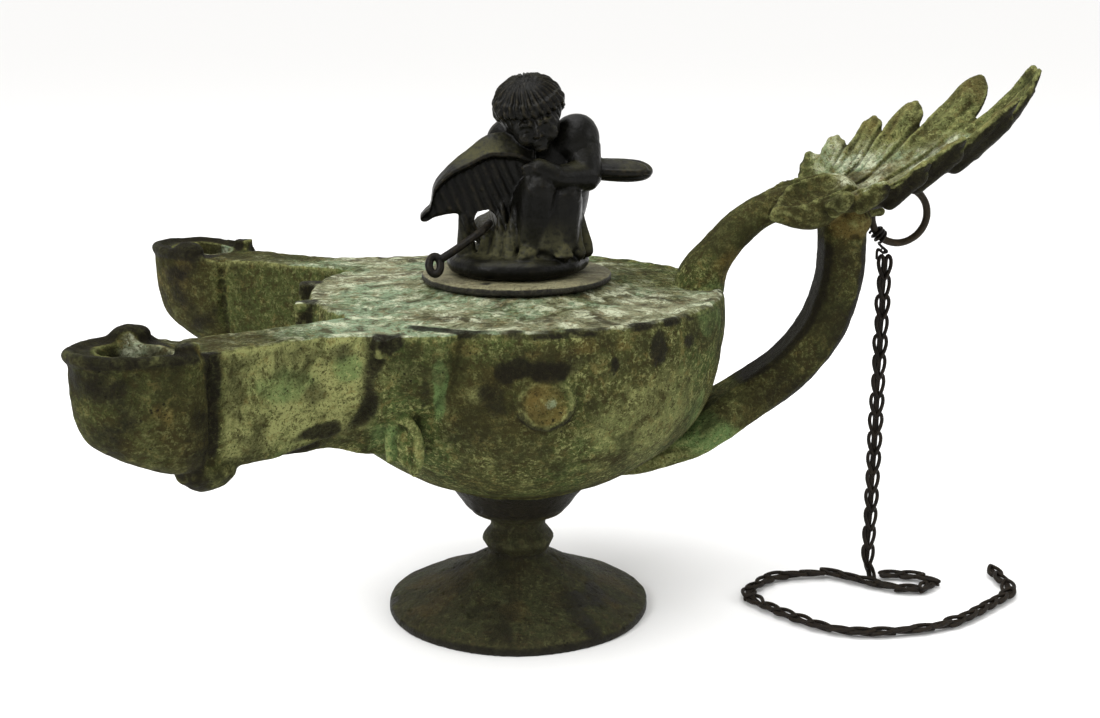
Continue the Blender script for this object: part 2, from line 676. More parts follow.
bothSides = (vec(1, 1, 1), vec(1, -1, 1))
arrisLine = through([(-35, -54.5, 90), (-38.6, -51, 80), (-39, -50, 73.5), (-41.5, -49.5, 67.5), (-46, -50, 63.5),
                     (-58, -52, 61.2), (-75, -55, 60.5)], 70)


def grooveLine(start, sway, wide, last):  # round a nozzle, where its neck meets the cup
    return [onNozzle(neckEnd + start + sway * math.cos(a), neckHalf * wide * math.cos(a) + 0.3,
                     deck - nozzle["depth"] * 0.97 * abs(math.sin(a)) ** 0.8) for a in np.linspace(0, last, 40)]


def bodyRelief(points, normals):
    push = 0.34 * layered(points, 9, 3, 11) + 0.17 * layered(points, 2.2, 2, 15)
    up = ramp(normals[:, 2], 0.55, 0.9) * ramp(points[:, 2], deck - 3, deck)
    push += up * (0.32 * layered(points, 4.2, 3, 21) - 0.35 * ramp(layered(points, 2.6, 2, 25), 0.35, 0.8))
    pits = ramp(cellNoise(points, 1.7, 31), 0.5, 0.95) * ramp(layered(points, 14, 2, 33), -0.1, 0.5)
    push -= 0.45 * pits * (1 - up)
    for flip in bothSides:
        p = points * flip
        s = p @ nozzleAlong
        t = p @ nozzleAcross - nozzle["offset"]
        push -= nearLine(p, grooveLine(2.2, 0.6, 1.05, math.pi), 2.0)
        push -= 1.3 * nearLine(p, arrisLine, 2.6)
        panel = through([(-79, -60.5, 86.6), (-60, -58.5, 87), (-44, -55.5, 87)], 40)
        push -= 0.5 * nearLine(p, panel, 1.4)
        knob = 1 - ramp(np.abs(s - neckEnd), 5.6, 7.4)
        knob *= 1 - ramp(p[:, 2], nozzleBottom + 1, nozzleBottom + 3.4)
        push += 0.5 * knob * layered(p, 2.6, 2, 43)
        gap = np.sqrt((p[:, 0] - medallionX) ** 2 + (p[:, 2] - medallionZ) ** 2)
        face = (p[:, 1] < -bowlRadius * 0.8) * 1.0
        gap += 1.1 * layered(p, 5, 2, 42)
        push += face * 0.22 * (1 - ramp(np.abs(gap - 6.1), 0.3, 1.8))
        push += face * (1 - ramp(gap, 1.5, 5.2)) * (0.8 + 0.8 * layered(p, 2.6, 2, 41))
        push += 1.4 * (1 - ramp(np.sqrt(((p - vec(-14, -53.5, 75)) ** 2).sum(1)), 0.5, 4.6))
    return push


def lampBody():
    near = nozzleSolids()
    solids = [bowlSolid()] + near + [mirrored(part) for part in near]
    for side in (-1, 1):
        medallion = [vec(medallionX, side * (bowlRadius + d), medallionZ) for d in (-4.5, -0.6, 0.1)]
        solids.append(tube(medallion, (7, 7, 6.2), 48))
        solids.append(block(vec(-bowlRadius + 0.6, side * 12.5, deck - 2.6), (6.6, 5.4, 6)))
    hollows = [reservoirSolid()]
    for part in channelSolids():
        hollows += [part, mirrored(part)]
    voxel = lamp["voxel"] * 1
    inside = fused(meshObject("inside", hollows), 1.2)
    body = cutAway(fused(meshObject("lampBody", solids), voxel), inside)
    points, normals = evened(body.data, 2)
    print("body joined:", len(points), "points")
    between = (points[:, 2] < deck - 2) & (points[:, 2] > bowlBase + 2)
    hidden = between & (np.hypot(points[:, 0], points[:, 1]) < bowlRadius - 2)
    pushed(body.data, points, normals, bodyRelief(points, normals) * np.where(hidden, 0.3, 1))
    thinned(body, lamp["triangles"])
    points, normals = addWear(body.data, 10)
    paintBody(body.data, points, normals)
    finished(body, greenSkin, "lamp_body")


# Patches on each side as centre, radii and strength, in millimetres: dark stains, then mint green bloom
darkSpots = ((-1, -55, 81.5, 9, 8, 3.8, 1), (-10, -53, 74, 4.5, 8, 6, 0.62), (31, -46, 83.5, 3.8, 8, 4, 0.75),
             (39.5, -39, 84, 2.2, 8, 2.4, 0.7), (19.5, -52, 81.5, 1.4, 8, 2.6, 0.75),
             (-26, -50, 77, 1.6, 8, 6.5, 0.6), (-46, -56, 85, 4.6, 8, 3.2, 0.66),
             (-52, -54, 76.5, 4.4, 8, 3, 0.5), (-50, -53, 66.5, 8.5, 9, 2.5, 0.85), (-38, -50, 86, 2.6, 8, 3, 0.6),
             (-75, -60, 84.6, 3.2, 6, 2.6, 0.5), (-12, -50, 47, 9, 9, 4, 0.5), (2.5, -54, 84, 22, 9, 5, 0.42),
             (-16, -52, 64, 10, 9, 8, 0.42))
mintSpots = ((-22.5, -51, 77, 1.8, 8, 10.5, 1), (-31, -46, 82, 1.5, 8, 6, 0.9), (-60, -58, 80, 9, 9, 5, 0.55),
             (-36, -44, 61, 5, 9, 6, 0.6), (-44, -54, 82, 4, 8, 5, 0.6), (44, -30, 60, 8, 8, 9, 0.5),
             (8, -52, 52, 10, 8, 3, 0.5), (46, -28, 88, 9, 10, 5, 0.55))


def patches(points, rows, seed):
    result = np.zeros(len(points))
    for x, y, z, a, b, c, share in rows:
        deepen(result, share * nearSpot(points, vec(x, y, z), (a, b, c), seed))
    return result


def paintBody(mesh, points, normals):
    count = len(points)
    up = ramp(normals[:, 2], 0.45, 0.8) * ramp(points[:, 2], deck - 2.2, deck - 0.4)
    noise = layered(points, 15, 3, 51)
    fine = layered(points, 5, 2, 55)
    far = ramp(points[:, 0], 12, 38) * ramp(points[:, 1], -20, 8)
    crust = up * np.clip(0.66 + 0.42 * noise - 0.5 * far, 0, 1)
    dark, ochre, mint, brown, pale = (np.zeros(count) for _ in range(5))
    radius = np.hypot(points[:, 0], points[:, 1])
    rim = (1 - ramp(np.abs(radius - bowlRadius * 0.985), 0.9, 2.2)) * ramp(points[:, 2], deck - 2.2, deck - 0.8)
    rim *= ramp(points[:, 0], -36, -28)
    deepen(dark, 0.9 * rim * ramp(fine, -0.45, 0.35))
    under = 1 - ramp(points[:, 2], bowlBase + 1, bowlBase + 12)
    deepen(brown, 0.7 * under)
    for flip in bothSides:
        p = points * flip
        near = ramp(-p[:, 1], 2, 10)
        s, t = p @ nozzleAlong, p @ nozzleAcross - nozzle["offset"]
        deepen(dark, patches(p, darkSpots, 5))
        ring = np.hypot(p[:, 0] - medallionX, p[:, 2] - medallionZ) + 1.2 * layered(p, 5, 3, 59)
        front = near * (p[:, 1] < -40)
        boss = front * (1 - ramp(ring, 3.4, 7.8))
        deepen(ochre, 0.85 * boss * np.clip(0.75 + 0.5 * fine, 0.3, 1))
        deepen(crust, 0.5 * front * nearSpot(p, vec(3.5, -57, 73), (2, 6, 2), 60))
        low = (1 - ramp(np.abs(ring - 6.6), 0.5, 1.6)) * (p[:, 2] < deck - 19) * (p[:, 1] < -40)
        deepen(dark, 0.6 * low)
        band = (1 - ramp(np.abs(p[:, 2] - (deck - 3.4)), 1.4, 3.4)) * (1 - up) * near
        band *= ramp(p[:, 0], -28, -18) * (1 - ramp(p[:, 0], 20, 34))
        deepen(ochre, 0.6 * band * ramp(noise + 0.5 * fine, -0.5, 0.4))
        deepen(ochre, 0.7 * nearSpot(p, vec(-107, -72, 67), (6, 12, 4), 10))
        deepen(mint, patches(p, mintSpots, 12))
        neck = ramp(s, neckStart - 6, neckStart + 2) * (1 - ramp(s, neckEnd - 3, neckEnd)) * ramp(t, 1, 5)
        deepen(pale, 0.95 * neck * ramp(p[:, 2], nozzleBottom + 1, nozzleBottom + 7))
        deepen(pale, 0.45 * near * nearSpot(p, vec(30, -45, 62), (18, 14, 13), 13, 0.6))
        cup = ramp(s, neckEnd + 1, neckEnd + 4) * (1 - up)
        deepen(brown, 0.9 * cup)
        deepen(brown, 0.6 * ramp(s, neckStart, neckStart + 8) * ramp(-t, -2, 3) * (1 - up))
        deepen(brown, 0.9 * near * nearSpot(p, vec(-10, -52, 74), (20, 12, 15), 14, 0.6))
        deepen(dark, cup * np.clip(0.36 + 0.7 * layered(p, 9, 3, 57), 0, 0.85))
        deepen(ochre, 0.5 * cup * ramp(layered(p, 8, 3, 58), 0.05, 0.5))
        wide = 3.2 + 3.2 * ramp(p[:, 2], 74, 88)  # broad at the rim, narrow below
        line = ramp(nearLine(p, grooveLine(1.2, 0.7, 1.08, 1.5), 6.4), 1 - wide / 6.4, 1)
        deepen(dark, 0.95 * line * ramp(p[:, 2], 58, 70))
        deepen(dark, 0.85 * ramp(nearLine(p, arrisLine, 5.2), 0.05, 0.9))
        knob = (1 - ramp(np.abs(s - neckEnd), 5.6, 8)) * (1 - ramp(p[:, 2], nozzleBottom, nozzleBottom + 4))
        deepen(dark, knob * np.clip(0.62 + 0.5 * fine, 0.2, 0.9))
        edge = ramp(s, neckEnd + 4, neckEnd + 7) * ramp(p[:, 2], rimTop - 3.2, rimTop - 1.2)
        hole = np.hypot(s - wickPlace, t - 0.6) - nozzle["wickRadius"]
        lining = (1 - ramp(hole, 0.8, 1.8)) * ramp(p[:, 2], 76, 80)
        right = ramp(-s, -neckEnd - 19, -neckEnd - 12)
        deepen(dark, edge * (1 - lining) * np.clip(0.85 + 0.4 * fine, 0, 1))
        crust = np.maximum(crust * (1 - 0.8 * edge), 0.62 * lining * right)
        deepen(brown, 0.75 * ramp(s, neckStart, neckEnd - 10) * up)
        crust *= 1 - 0.62 * ramp(s, neckStart - 2, neckEnd - 12) * (1 - lining)
        end = onNozzle(rootStations[3], float(eased(outerStations, rootStations[3])) - 0.4, deck - 2)
        deepen(dark, nearSpot(p, end, (4.2, 4.2, 3.4), 16))
        deepen(dark, 0.8 * nearSpot(p, vec(-bowlRadius + 0.6, -12.5, deck - 2.6), (5, 4.6, 5), 15))
    mint *= 1 - up
    pale *= 1 - up
    paint(mesh, crust=crust, dark=dark, ochre=ochre, mint=mint, brown=brown, pale=pale)


lampBody()


# Handle: round arm, flat strap with a leaf-like end, calyx, palmette and the lug for the ring
handleLook = {
    "armThickness": 10, "armWidth": 12, "strapThickness": 12, "strapWidth": 15, "leafLength": 64,
    "leafCurl": 12.5, "leafRoll": 9, "lobesPerSide": 5, "lobeStep": 13.7, "voxel": 0.5,
    "ringRadius": 7.75, "ringWire": 2.1, "lugThickness": 2.6, "triangles": 150000,
}


def onHandle(dx, dz, y=0.0):
    return vec(bowlRadius + dx, y, deck + dz)


armPath = [onHandle(*p) for p in ((-7.5, -12), (-6.8, -3), (-5, 4), (-0.5, 10.6), (5.5, 16.6), (11.5, 20.6),
                                  (18, 22.5), (27, 23))]
strapPath = [onHandle(*p) for p in ((32.5, 22), (33, 10), (32, -1), (28, -12.5), (19.5, -23), (7, -32), (-8, -41),
                                    (-20, -46.2), (-33, -52))]
leafRoot = onHandle(20.5, 24.5)
tipReach = (1, 0.87, 0.67, 0.565, 0.455, 0.34)
tipRise = (0, 0.88, 1.1, 1.1, 0.95, 0.68)
notchReach = (0.75, 0.58, 0.5, 0.42, 0.33, 0.24)
dishRise = [(0, 0), (0.3, 0.05), (0.5, 0.2), (0.7, 0.5), (0.85, 0.78), (1, 1)]
leafRib = [(0, -0.03), (0.3, -0.032), (0.42, 0.02), (0.6, 0.105), (0.73, 0.185), (0.86, 0.29), (0.94, 0.385),
           (1, 0.51)]
ringCentre = onHandle(51, 17.2, 8)


def sweptFlat(path, steps, section):
    centres = through(path, steps)
    rings = []
    for i, centre in enumerate(centres):
        along = centres[min(i + 1, steps - 1)] - centres[max(i - 1, 0)]
        along /= np.linalg.norm(along)
        across = vec(-along[2], 0, along[0])
        rings.append(np.array([centre + across * d + vec(0, w, 0) for d, w in section(i / (steps - 1))]))
    return loft(rings)


def armSection(share):
    swell = float(eased([(0, 1), (0.2, 1.36), (0.42, 1.02), (0.65, 0.9), (1, 0.85)], share)) / 2
    turns = np.arange(36) / 36 * 2 * math.pi
    return [(handleLook["armThickness"] * swell * math.sin(a), handleLook["armWidth"] * swell * math.cos(a))
            for a in turns]


def strapSection(share):
    flare = float(eased([(0, 0.95), (0.12, 0.92), (0.45, 1), (0.62, 1.25), (0.75, 1.9), (0.88, 1.7), (1, 0.35)],
                        share))
    depth = float(eased([(0, 1), (0.55, 1.02), (0.7, 0.95), (0.8, 0.8), (0.9, 0.55), (1, 0.3)], share))
    flank = [(-0.5, 0.3), (-0.36, 0.44), (-0.16, 0.5), (0.08, 0.49), (0.3, 0.44), (0.4, 0.33), (0.43, 0.24),
             (0.5, 0.16)]
    outline = flank + [(d, -w) for d, w in reversed(flank)]
    return [(d * handleLook["strapThickness"] * depth, w * handleLook["strapWidth"] * flare) for d, w in outline]


def leafPlace(angle, share):  # a point of the middle of the leaf's thickness
    length, step, lobes = handleLook["leafLength"], handleLook["lobeStep"], handleLook["lobesPerSide"]
    place = min(abs(angle) / step, lobes + 0.499)
    lobe = round(place)
    notch = notchReach[max(0, lobe - 1 if place < lobe else lobe)]
    aside = min(1, abs(place - lobe) * 2)
    edge = notch + (tipReach[lobe] - notch) * (1 - aside ** 3.6)
    reach = length * edge * share
    a = math.radians(angle)
    x, y = reach * math.cos(a), reach * math.sin(a)
    whole = float(np.interp(place, range(6), tipReach))
    out = min(1.0, reach / (length * whole))
    rise = handleLook["leafCurl"] * float(np.interp(place, range(6), tipRise)) * float(eased(dishRise, out))
    rise -= 1.4 * (1 - aside ** 2) * float(ramp(out, 0.5, 0.8)) * (1 - 0.7 * float(ramp(out, 0.88, 1)))
    z = length * float(eased(leafRib, x / length)) + rise
    roll = math.radians(handleLook["leafRoll"])
    return leafRoot + vec(x, y * math.cos(roll), z + y * math.sin(roll))


def leafSolid():
    limit = handleLook["lobeStep"] * (handleLook["lobesPerSide"] + 0.5)
    shares = (0.02, 0.12, 0.24, 0.36, 0.46, 0.56, 0.65, 0.73, 0.8, 0.86, 0.91, 0.95, 0.98, 1.0)
    angles = np.linspace(-limit, limit, 11 * 16 + 1)
    middle = np.array([[leafPlace(angle, share) for share in shares] for angle in angles])
    out = np.cross(np.gradient(middle, axis=1), np.gradient(middle, axis=0))
    out *= np.sign(out[:, :, 2:]) / np.linalg.norm(out, axis=2, keepdims=True)
    out[:, :, 2] = np.maximum(out[:, :, 2], 0.45)
    half = np.interp(shares, (0, 0.6, 0.95, 1), (1.5, 1.4, 1.15, 0.5))[None, :, None]
    places = np.abs(angles) / handleLook["lobeStep"]
    lobe = 1 - (2 * np.abs(places - np.round(places))) ** 2
    belly = lobe[:, None, None] * np.interp(shares, (0, 0.45, 0.8, 1), (0, 0.3, 0.9, 0))[None, :, None]
    top, low = middle + out * half, middle - out * (half + belly)
    return loft([np.concatenate([a, b[::-1]]) for a, b in zip(top, low)])


def cutPart(part, cutter):
    piece = cutAway(meshObject("piece", [part]), meshObject("tool", [cutter]))
    result = (readPoints(piece.data)[0], [tuple(face.vertices) for face in piece.data.polygons])
    bpy.data.meshes.remove(piece.data)
    return result


def handleRelief(points, normals):
    push = 0.28 * layered(points, 7, 3, 61) + 0.1 * layered(points, 1.8, 2, 65)
    push -= 0.4 * ramp(cellNoise(points, 1.6, 67), 0.5, 0.95) * ramp(layered(points, 11, 2, 68), -0.1, 0.5)
    offset = points - leafRoot
    reach = np.hypot(offset[:, 0], offset[:, 1])
    angle = np.degrees(np.arctan2(offset[:, 1], np.maximum(offset[:, 0], 0.01)))
    onLeaf = ramp(reach, 13, 17) * ramp(normals[:, 2], 0.2, 0.6) * ramp(offset[:, 0], 8, 14)
    onLeaf *= 1 - ramp(reach, 38, 50) * 0.6
    stroke = np.cos(np.radians(angle) * 360 / handleLook["lobeStep"] * 3 + 0.8 * layered(points, 6, 2, 69))
    push += onLeaf * (0.17 * stroke - 0.08)
    sheath = ramp(offset[:, 2], -8, -4) * (1 - ramp(offset[:, 0], 10, 15)) * ramp(offset[:, 0], -14, -8)
    push += sheath * 0.13 * np.sin(1.9 * (offset[:, 0] * 0.35 + offset[:, 2]) + 1.2 * layered(points, 9, 2, 70))
    vein = np.abs(angle / handleLook["lobeStep"] - np.round(angle / handleLook["lobeStep"])) * 2
    push -= 0.55 * onLeaf * ramp(vein, 0.72, 0.98) * ramp(reach, 13, 22)
    joint = through([onHandle(dx, dz, y) for dx, dz, y in
                     ((9, -36, -10), (4, -36, -13.4), (-4, -38, -14.6), (-12, -41, -14), (-20, -44, -11))], 50)
    for flip in bothSides:
        push -= 0.7 * nearLine(points * flip, joint, 1.6)
    collar = [onHandle(31 + 6.5 * math.cos(a), 13.6, 8 * math.sin(a)) for a in np.linspace(0, 6.28, 30)]
    push -= 0.7 * nearLine(points, through(collar, 90), 1.3)
    return push


def handlePiece():
    parts = [sweptFlat(armPath, 60, armSection), sweptFlat(strapPath, 90, strapSection), leafSolid()]
    for side in (-1, 1):
        points, faces = ball(vec(0, 0, 0), (14.5, 6.6, 7), (0, 0, 0), 40, 30)
        point = 1 - 0.5 * ramp(-points[:, 0], 2, 14.5)
        points = points * np.stack([np.ones(len(points)), point, point], 1)
        sheath = (points @ turnMatrix(side * 30, -24, side * -14).T + leafRoot + vec(2, side * 6.4, -1.4), faces)
        scoop = ball(leafRoot + vec(2.4, side * 7.6, 5.9), (13.5, 5.4, 6.8), (side * 12, -28, side * -14), 36, 22)
        parts.append(cutPart(sheath, scoop))
    parts.append(ball(leafRoot + vec(13.5, 0, -7), (6.4, 8, 5.6), (0, 0, 0), 40, 26))
    parts.append(ball(leafRoot + vec(4, 0, -3.4), (13, 7.5, 4.4), (0, -6, 0), 40, 26))
    for lobe in range(1, 6):
        for side in (-1, 1):
            angle = side * lobe * handleLook["lobeStep"]
            inner, tip = leafPlace(angle, 0.72), leafPlace(angle, 0.93)
            size = 3.3 - 0.26 * lobe
            parts.append(limb(inner - vec(0, 0, 1.8), tip - vec(0, 0, 1.2), size * 0.85, size, 18))
    parts.append(limb(leafPlace(0, 0.74) - vec(0, 0, 0.6), leafPlace(0, 0.965) - vec(0, 0, 0.2), 2.2, 1.9, 16))
    lug = ringCentre + vec(-handleLook["ringRadius"], 0, 1.2)
    outer = handleLook["ringWire"] / 2 + handleLook["lugThickness"]
    half = handleLook["lugThickness"] / 2
    eye = [lug + vec(outer * 0.62 * math.cos(a), outer * 0.62 * math.sin(a), 0)
           for a in np.linspace(0, 2 * math.pi, 28, endpoint=False)]
    parts.append(tube(eye, half, 12, closed=True))
    parts.append(limb(vec(leafRoot[0] + 12, 2, lug[2]), lug - vec(outer * 0.95, 0, 0), 2.3, 1.9))
    handle = fused(meshObject("leafHandle", parts), handleLook["voxel"] * (1))
    points, normals = evened(handle.data, 2)
    level = (points[:, 2] - bowlBase) / bowlHeight
    edge = bowlRadius * eased([(0, 0.4)] + bowlShape + [(1, 0.985)], level)
    radius = np.hypot(points[:, 0], points[:, 1])
    buried = (radius < edge - 1.5) & (points[:, 2] < deck - 1)
    pushed(handle.data, points, normals, np.where(buried, 0, handleRelief(points, normals)))
    trimmed(handle)
    thinned(handle, handleLook["triangles"])
    points, normals = addWear(handle.data, 8)
    offset = points - leafRoot
    fine, coarse = layered(points, 5, 2, 77), layered(points, 10, 3, 80)
    out = np.hypot(offset[:, 0], offset[:, 1])
    leafTop = ramp(normals[:, 2], 0.25, 0.65) * ramp(offset[:, 0], 4, 12) * ramp(offset[:, 2], -3, -1)
    lobe = ramp(out, 22, 34) * ramp(np.abs(offset[:, 1]) + 0.5 * np.maximum(offset[:, 0] - 30, 0), 8, 16)
    centre = leafTop * (1 - 0.85 * lobe)
    dark = 0.95 * ramp(-normals[:, 2], -0.5, 0.1) * ramp(offset[:, 0], 12, 18) * ramp(offset[:, 2], -5, -3)
    deepen(dark, 0.6 * leafTop * ramp(out, 40, 60) * ramp(coarse, -0.3, 0.3))
    dark *= ramp(fine, -0.9, -0.3)
    strap = (1 - ramp(points[:, 2], 100, 106)) * ramp(points[:, 0], 56, 64)
    flank = ramp(np.abs(points[:, 1]), 5.2, 6.6)
    deepen(dark, strap * ramp(points[:, 2], 48, 60) * np.clip(0.9 - 0.45 * flank + 0.3 * coarse, 0, 1))
    sheath = (1 - ramp(offset[:, 0], 12, 18)) * ramp(points[:, 2], 98, 104)
    deepen(dark, sheath * np.clip(0.25 + 0.6 * coarse, 0, 0.8))
    brown = np.maximum(strap, 0.8 * ramp(points[:, 2], 92, 100) * (1 - centre))
    ochre = 0.8 * nearSpot(points, leafRoot + vec(13, -7, -7), (7, 5, 6), 72)
    deepen(ochre, 0.6 * centre * ramp(layered(points, 9, 3, 73), -0.5, 0.1))
    deepen(ochre, 0.6 * leafTop * lobe * ramp(coarse, -0.2, 0.4))
    deepen(ochre, 0.6 * nearSpot(points, onHandle(2, 6, -4), (6, 8, 9), 78))
    mint = np.maximum(0.3 * centre * ramp(layered(points, 12, 3, 74), 0.1, 0.6),
                      0.8 * nearSpot(points, onHandle(-12, -38, -13), (17, 9, 6), 75))
    deepen(mint, 0.7 * nearSpot(points, onHandle(-4, -3, -4), (8, 9, 6), 79))
    deepen(mint, 0.6 * nearSpot(points, leafRoot + vec(8, -9, -1), (3.5, 5, 4), 83))
    pale = np.maximum(leafTop * (0.95 - 0.5 * lobe), 0.25 * (1 - strap) * (1 - ramp(points[:, 2], 70, 80)))
    crust = centre * (0.62 + 0.3 * layered(points, 8, 3, 76))
    paint(handle.data, crust=crust, dark=dark, ochre=ochre, mint=mint, brown=brown * (1 - leafTop), pale=pale)
    finished(handle, greenSkin, "handle")


def trimmed(handle):  # what lies inside the bowl is cut off, as on the CAD part
    middle = bowlBase + bowlHeight / 2
    points, faces = bowlSolid()
    points = (points - vec(0, 0, middle)) * vec(0.997, 0.997, 0.995) + vec(0, 0, middle)
    cutAway(handle, meshObject("bowlRoom", [(points, faces)]))


handlePiece()


# Foot and lid, turned with uneven edges
def footPiece():
    h, cup, stem, foot = lamp["footHeight"], lamp["cupRadius"], lamp["stemRadius"], lamp["footRadius"]
    neck = stem * 0.95
    outer = [(cup, h), (cup * 0.86, h - 3.4), (cup * 0.76, h - 6.4), (cup * 0.7, h - 7.6), (cup * 0.62, h - 9.2),
             (neck * 1.12, h - 10.8), (neck, h * 0.635), (stem * 1.1, h * 0.59), (stem * 1.24, h * 0.54),
             (stem * 1.12, h * 0.48), (stem * 1.05, h * 0.435), (foot * 0.4, h * 0.335), (foot * 0.66, h * 0.2),
             (foot * 0.87, h * 0.125), (foot * 0.97, lamp["footRim"]), (foot, lamp["footRim"] * 0.6), (foot, 0.2)]
    smooth = through([vec(r, 0, z) for r, z in outer], 150)
    recess = [(foot - 3.2, 0.2), (foot - 3.6, 0.9), (foot * 0.6, 3.2), (stem + 0.6, 3.4), (stem + 0.2, 0.2)]
    part = lathe([(r, z) for r, _, z in smooth] + [(foot - 0.3, 0), (foot - 2.6, 0)] + recess + [(stem - 0.4, 0)],
                 220, lambda a: 0.004 * np.sin(3 * a) + 0.003 * np.sin(7 * a + 1))
    piece = fused(meshObject("pedestalFoot", [part]), lamp["footVoxel"] * (1))
    mesh = piece.data
    points, normals = readPoints(mesh)
    push = 0.22 * layered(points, 6, 3, 81) + 0.1 * layered(points, 1.6, 2, 84)
    push -= 0.4 * ramp(cellNoise(points, 1.5, 85), 0.55, 0.95)
    push *= ramp(points[:, 2], 0.1, 1.2)
    points = points + normals * push[:, None]
    points[:, 2] = np.maximum(points[:, 2], 0)
    writePoints(mesh, points)
    thinned(piece, lamp["footTriangles"])
    points = addWear(piece.data, 8)[0]
    dark = 0.62 * ramp(layered(points, 10, 3, 86), 0.1, 0.6)
    deepen(dark, 0.8 * ramp(points[:, 2], 27, 31))
    deepen(dark, 0.8 * (1 - ramp(points[:, 2], 1.6, 3.2)))
    paint(piece.data, dark=dark, ochre=0.6 * ramp(layered(points, 12, 3, 87), 0, 0.5),
          mint=0.5 * ramp(layered(points, 14, 3, 88), 0.3, 0.7))
    finished(piece, footSkin, "pedestal_foot")


footPiece()
lidBottom = seatHeight + lamp["fitGap"]
lidTop = lidBottom + lamp["lidThickness"]


def lidPiece():
    r = lamp["lidRadius"]
    ring, depth = lamp["fillerRadius"] - 0.6, lidBottom - 5
    part = lathe([(r - 1.2, lidTop), (r - 0.3, lidTop - 0.35), (r, lidTop - 0.9), (r, lidBottom + 0.5),
                  (r - 0.7, lidBottom), (ring, lidBottom), (ring, depth), (ring - 2, depth),
                  (ring - 2, lidBottom)],
                 200, lambda a: 0.006 * np.sin(2 * a + 1) + 0.004 * np.sin(5 * a) + 0.002 * np.sin(11 * a))
    lid = fused(meshObject("lidPlate", [part]), lamp["lidVoxel"] * (1))
    points, normals = readPoints(lid.data)
    push = (0.14 * layered(points, 5, 3, 91) + 0.08 * layered(points, 1.3, 2, 94)) * (normals[:, 2] > -0.3)
    pushed(lid.data, points, normals, push)
    thinned(lid, lamp["lidTriangles"])
    points, normals = addWear(lid.data, 6)
    up = ramp(normals[:, 2], 0.6, 0.9)
    paint(lid.data, dark=1 - up * ramp(layered(points, 6, 3, 95), -0.9, -0.4), pale=0.5 * up,
          ochre=0.55 * up * ramp(layered(points, 8, 3, 96), -0.2, 0.5))
    finished(lid, lidSkin, "lid")


lidPiece()


# Crouching winged child on its pad
figure = {"height": 52, "padRadius": 19.4, "voxel": 0.38, "locks": 30, "curls": 7, "lockWidth": 1.0,
          "triangles": 180000}
figureBase = lidTop + lamp["fitGap"]


def at(x, y, z):
    unit = figure["height"] / 52
    return vec(x * unit, y * unit, figureBase + z * unit)


wingTop = [(-25.6, 16.4), (-24.2, 18.0), (-22.8, 19.2), (-22.3, 23.2), (-20.2, 26.8), (-13.9, 32.4), (-6.2, 37.2),
           (-1, 37.4), (4, 35.5)]
wingDrop = [(-25.6, 0.5), (-18, 1.8), (-8, 4.4), (4, 5.6)]
wingLow = [(-25.6, 14.8), (-24.4, 14.4), (-22, 15.6), (-16.5, 16.6), (-14, 14.6), (-11.5, 10), (4, 8)]


def leftWing():
    rings = []
    for x in np.linspace(-25.6, 4, 70):
        high, foot = float(eased(wingTop, x)), float(eased(wingLow, x))
        drop = min(float(eased(wingDrop, x)), (high - foot) * 0.45)
        edge = high - drop
        rings.append(np.array([at(x, y, z) for y, z in (
            (-5.2, high - 0.5), (-5.9, high), (-7.4, high - drop * 0.3), (-9.6, edge + 0.5), (-10.5, edge - 0.2),
            (-10.3, edge - 1.1 if drop > 1 else edge - 0.4), (-9.0, edge - 1.9 if drop > 1 else edge - 0.6),
            (-8.7, foot * 0.6 + edge * 0.4), (-8.9, foot * 0.85 + edge * 0.15 - 0.2), (-8.4, foot),
            (-5.6, foot + 0.1), (-5.2, foot + 0.8))]))
    return loft(rings)


headTurn = turnMatrix(0, -12, 0) @ turnMatrix(22, 0, 0)
headCentre, headSize = at(3, -4.5, 43.2), vec(8.5, 8.6, 8.0)
faceCentre, faceTurn = at(4.4, -8.6, 39.2), turnMatrix(14, -14, 0)


def onHead(turn, tilt, lift=0.0):
    a, b = math.radians(turn), math.radians(tilt)
    out = vec(math.sin(b) * math.cos(a), math.sin(b) * math.sin(a), math.cos(b))
    return headCentre + headTurn @ (out * (headSize + lift))


def onFace(x, y, z):
    return faceCentre + faceTurn @ vec(x, y, z)


